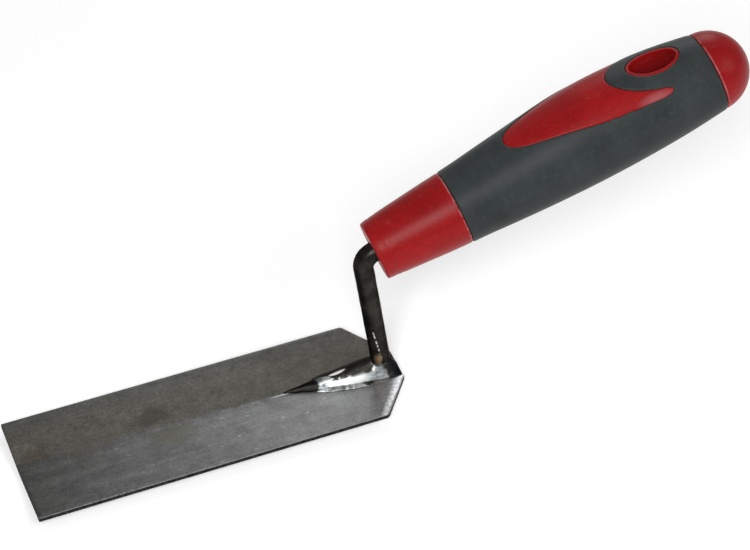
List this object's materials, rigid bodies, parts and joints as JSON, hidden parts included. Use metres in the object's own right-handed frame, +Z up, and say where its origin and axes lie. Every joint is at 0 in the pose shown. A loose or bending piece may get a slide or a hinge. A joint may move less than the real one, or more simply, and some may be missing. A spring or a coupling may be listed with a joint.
{
  "type": "inside corner trowel",
  "caption": "Long, narrow hand trowel: shallowly creased steel blade on a cranked round shank, with a two-tone soft-grip handle and hang hole.",
  "frame": {"origin": "bottom centre of the bounding box: under the handle's front, level with the crease of the blade's underside", "axes": "+X from the blade's tip along the crease to the handle's butt, +Y across the blade, +Z up from the blade to the handle"},
  "size_m": [0.27, 0.0476, 0.114],
  "materials": {
    "blade_steel": "satin, lightly mottled",
    "forged_steel": "dark forged, semi-gloss",
    "weld_metal": "bright ground weld",
    "red_plastic": "satin",
    "grey_rubber": "matte, finely textured"
  },
  "bodies": {
    "root": {"blade": "blade_steel", "tang": "forged_steel", "foot_weld_near": "weld_metal", "foot_weld_far": "weld_metal", "handle_core": "red_plastic", "grip_overmould": "grey_rubber"}
  },
  "joints": []
}
